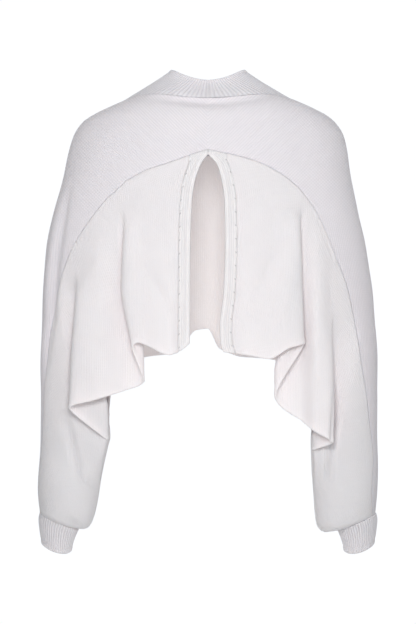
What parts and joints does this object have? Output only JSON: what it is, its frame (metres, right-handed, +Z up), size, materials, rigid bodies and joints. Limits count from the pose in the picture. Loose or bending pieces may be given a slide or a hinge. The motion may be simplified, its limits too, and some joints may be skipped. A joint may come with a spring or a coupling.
{
  "type": "batwing jumper",
  "caption": "Cropped knitted batwing jumper in its worn form: ribbed neckband, textured yoke over the sleeves, teardrop open back with ribbed edges, draped wings and ribbed cuffs.",
  "frame": {"origin": "base of the neck, midway between the shoulders, level with the neck seam at the sides", "axes": "+Z up, -Y out of the garment's back, +Y out of its front, -X towards the wearer's left sleeve"},
  "size_m": [0.4923, 0.231, 0.7007],
  "materials": {
    "plain_knit": "soft matt fine knit, warm white",
    "textured_knit": "matt textured knit, white",
    "ribbed_knit": "matt ribbed knit, white",
    "opening_band_knit": "matt fine rib, warm white"
  },
  "bodies": {
    "root": {"neckband": "ribbed_knit", "yoke": "textured_knit", "back_left": "plain_knit", "back_right": "plain_knit", "opening_band_left": "opening_band_knit", "opening_band_right": "opening_band_knit", "front": "plain_knit", "cuff_left": "ribbed_knit", "cuff_right": "ribbed_knit"}
  },
  "joints": []
}
